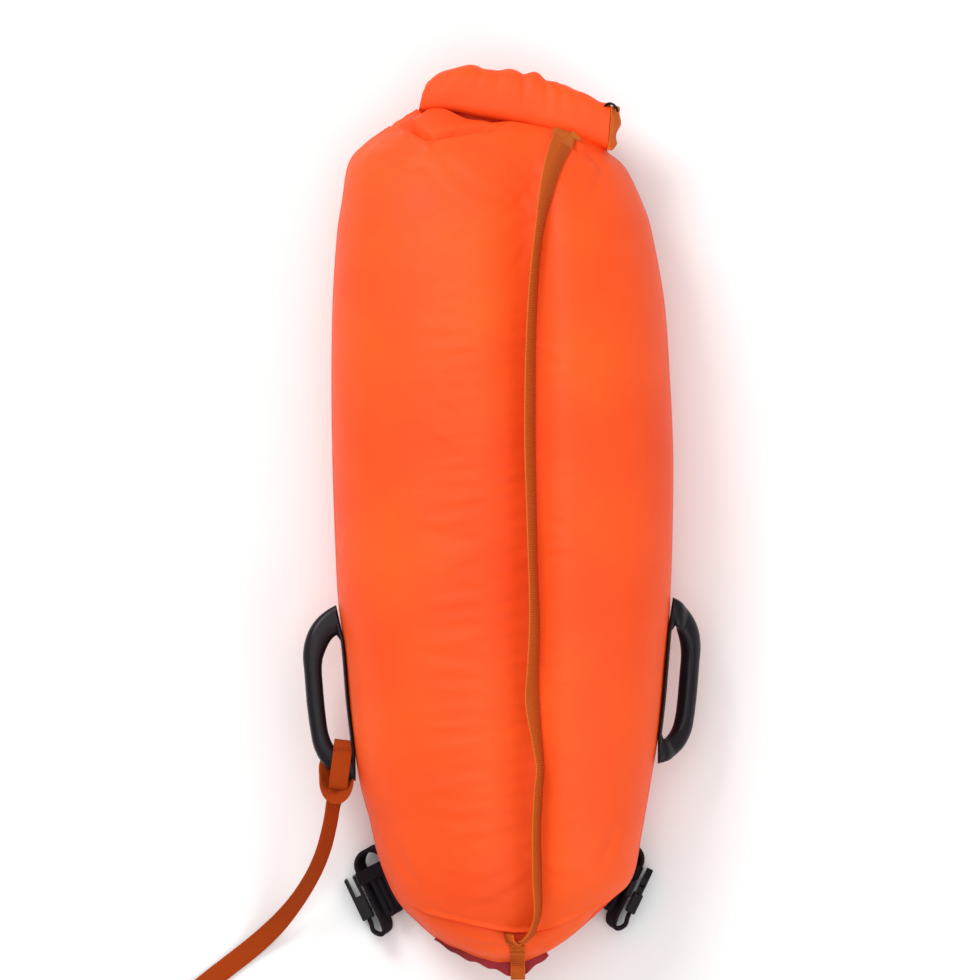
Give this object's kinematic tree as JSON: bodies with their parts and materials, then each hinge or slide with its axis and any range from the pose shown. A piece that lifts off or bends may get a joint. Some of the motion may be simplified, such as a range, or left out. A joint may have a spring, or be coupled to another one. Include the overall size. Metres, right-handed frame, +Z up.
{
  "type": "open water swim buoy",
  "caption": "Inflatable dry bag swim buoy lying on its back: pillow body with side air chambers, rolled mouth, side grab handles, front strap, leash and folded waist belt.",
  "frame": {"origin": "on the floor under the middle of the buoy's bounding box, without the leash's free length", "axes": "+X to the right of the buoy's front, +Y towards the rolled mouth, +Z up out of the front panel"},
  "size_m": [0.4495, 0.8709, 0.1654],
  "materials": {
    "orange_fabric": "satin",
    "inner_film": "satin",
    "hem_fabric": "matte",
    "brown_webbing": "matte",
    "black_webbing": "matte",
    "black_plastic": "matte",
    "handle_plastic": "satin",
    "valve_rubber": "matte"
  },
  "bodies": {
    "bag": {"front_panel": "orange_fabric", "back_panel": "orange_fabric", "left_chamber_wall": "inner_film", "right_chamber_wall": "inner_film", "closure_roll": "orange_fabric", "closure_stiffener": "black_plastic", "closure_tab_left": "brown_webbing", "closure_tab_chape": "brown_webbing", "closure_tab_right": "brown_webbing", "closure_socket": "black_plastic", "left_valve_base": "black_plastic", "right_valve_base": "black_plastic", "left_handle": "handle_plastic", "right_handle": "handle_plastic", "front_strap": "brown_webbing", "bottom_loop": "brown_webbing", "bottom_hem": "hem_fabric", "left_belt": "black_webbing", "left_belt_spare": "black_webbing", "left_belt_keeper": "black_webbing", "left_belt_anchor": "black_webbing", "belt_socket": "black_plastic", "right_belt": "black_webbing", "right_belt_spare": "black_webbing", "right_belt_keeper": "black_webbing", "right_belt_anchor": "black_webbing", "belt_plug": "black_plastic", "leash_hitch": "brown_webbing", "leash_tail": "brown_webbing", "leash_coil": "brown_webbing", "leash_end_loop": "brown_webbing"},
    "closure_plug": {"closure_plug": "black_plastic"},
    "closure_prong_upper": {"closure_prong_upper": "black_plastic"},
    "closure_prong_lower": {"closure_prong_lower": "black_plastic"},
    "belt_prong_upper": {"belt_prong_upper": "black_plastic"},
    "belt_prong_lower": {"belt_prong_lower": "black_plastic"},
    "belt_adjuster": {"belt_adjuster": "black_plastic"},
    "left_valve_collar": {"left_valve_collar": "black_plastic"},
    "left_valve_stem": {"left_valve_stem": "valve_rubber"},
    "right_valve_collar": {"right_valve_collar": "black_plastic"},
    "right_valve_stem": {"right_valve_stem": "valve_rubber"}
  },
  "joints": [
    {"name": "closure_plug_slide", "type": "slide", "parent": "bag", "child": "closure_plug", "axis": [0.9766, -0.2151, 0], "range_m": [0, 0.025], "deforming": ["closure_tab_right"]},
    {"name": "closure_prong_upper_flex", "type": "hinge", "parent": "closure_plug", "child": "closure_prong_upper", "pos_m": [0.05982, 0.35403, 0.0675], "axis": [0, 0, 1], "range_deg": [0, 8], "stiffness_Nm_per_rad": 0.35},
    {"name": "closure_prong_lower_flex", "type": "hinge", "parent": "closure_plug", "child": "closure_prong_lower", "pos_m": [0.05587, 0.33612, 0.0675], "axis": [0, 0, -1], "range_deg": [0, 8], "stiffness_Nm_per_rad": 0.35},
    {"name": "belt_prong_upper_flex", "type": "hinge", "parent": "bag", "child": "belt_prong_upper", "pos_m": [0.11579, -0.31495, 0.02347], "axis": [-0.9026, 0.4305, 0], "range_deg": [0, 8], "stiffness_Nm_per_rad": 0.35},
    {"name": "belt_prong_lower_flex", "type": "hinge", "parent": "bag", "child": "belt_prong_lower", "pos_m": [0.11579, -0.31495, 0.00513], "axis": [0.9026, -0.4305, 0], "range_deg": [0, 8], "stiffness_Nm_per_rad": 0.35},
    {"name": "belt_adjuster_slide", "type": "slide", "parent": "bag", "child": "belt_adjuster", "axis": [-0.4305, -0.9026, 0], "range_m": [0, 0.01]},
    {"name": "left_valve_turn", "type": "hinge", "parent": "bag", "child": "left_valve_collar", "pos_m": [-0.093, 0.25, 0.01613], "axis": [-0.4034, 0.1445, -0.9035], "range_deg": [0, 90]},
    {"name": "left_valve_press", "type": "slide", "parent": "bag", "child": "left_valve_stem", "axis": [0.4034, -0.1445, 0.9035], "range_m": [0, 0.002]},
    {"name": "right_valve_turn", "type": "hinge", "parent": "bag", "child": "right_valve_collar", "pos_m": [0.093, 0.25, 0.02325], "axis": [0.5235, 0.2051, -0.827], "range_deg": [0, 90]},
    {"name": "right_valve_press", "type": "slide", "parent": "bag", "child": "right_valve_stem", "axis": [-0.5235, -0.2051, 0.827], "range_m": [0, 0.002]}
  ],
  "couplings": [
    {"joint": "closure_prong_lower_flex", "follows": "closure_prong_upper_flex", "ratio": 1},
    {"joint": "belt_prong_lower_flex", "follows": "belt_prong_upper_flex", "ratio": 1},
    {"joint": "left_valve_press", "follows": "left_valve_turn", "m_per_rad": 0.0012732},
    {"joint": "right_valve_press", "follows": "right_valve_turn", "m_per_rad": 0.0012732}
  ]
}
